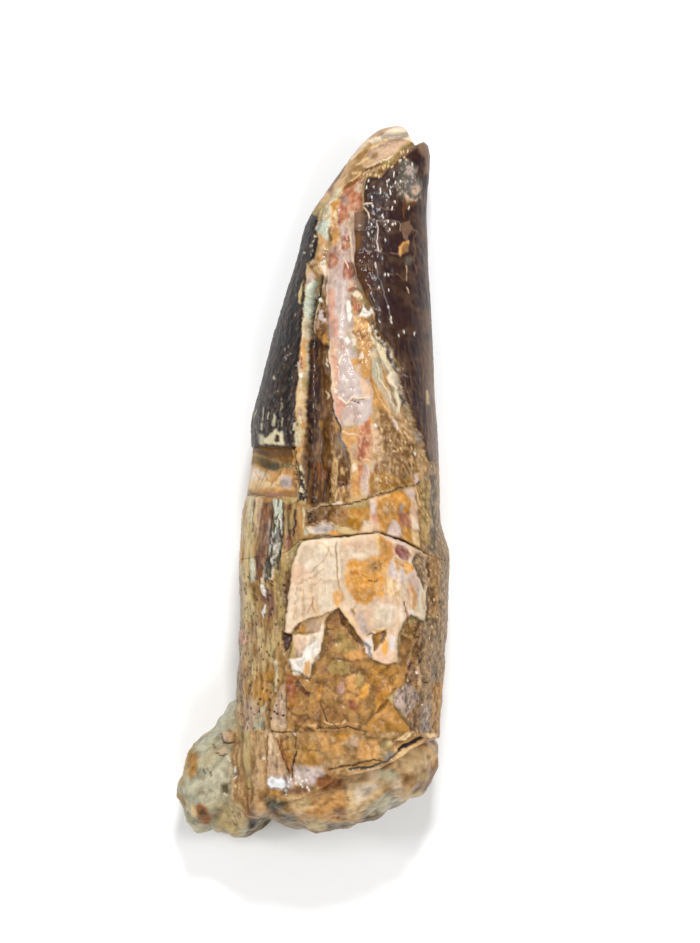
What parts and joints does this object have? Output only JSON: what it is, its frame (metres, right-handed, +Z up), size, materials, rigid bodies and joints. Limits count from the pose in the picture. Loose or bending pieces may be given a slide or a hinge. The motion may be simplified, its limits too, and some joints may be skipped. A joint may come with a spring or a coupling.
{
  "type": "fossil sauropod tooth",
  "caption": "Large spatulate fossil tooth lying on its back edge, with worn tip, dark enamel, split root and a lump of host rock at its broken base.",
  "frame": {"origin": "on the ground, under the middle of the specimen's box as it lies", "axes": "+Y along the tooth from its broken root to its worn tip, +Z up out of the front face, +X to the right with the tip pointing away"},
  "size_m": [0.0383, 0.1, 0.0266],
  "materials": {
    "mineralised_tooth": "polished, sealed with a clear coat",
    "host_rock": "rough, broken"
  },
  "bodies": {
    "root": {"tooth": "mineralised_tooth", "matrix_rock": "host_rock"}
  },
  "joints": []
}
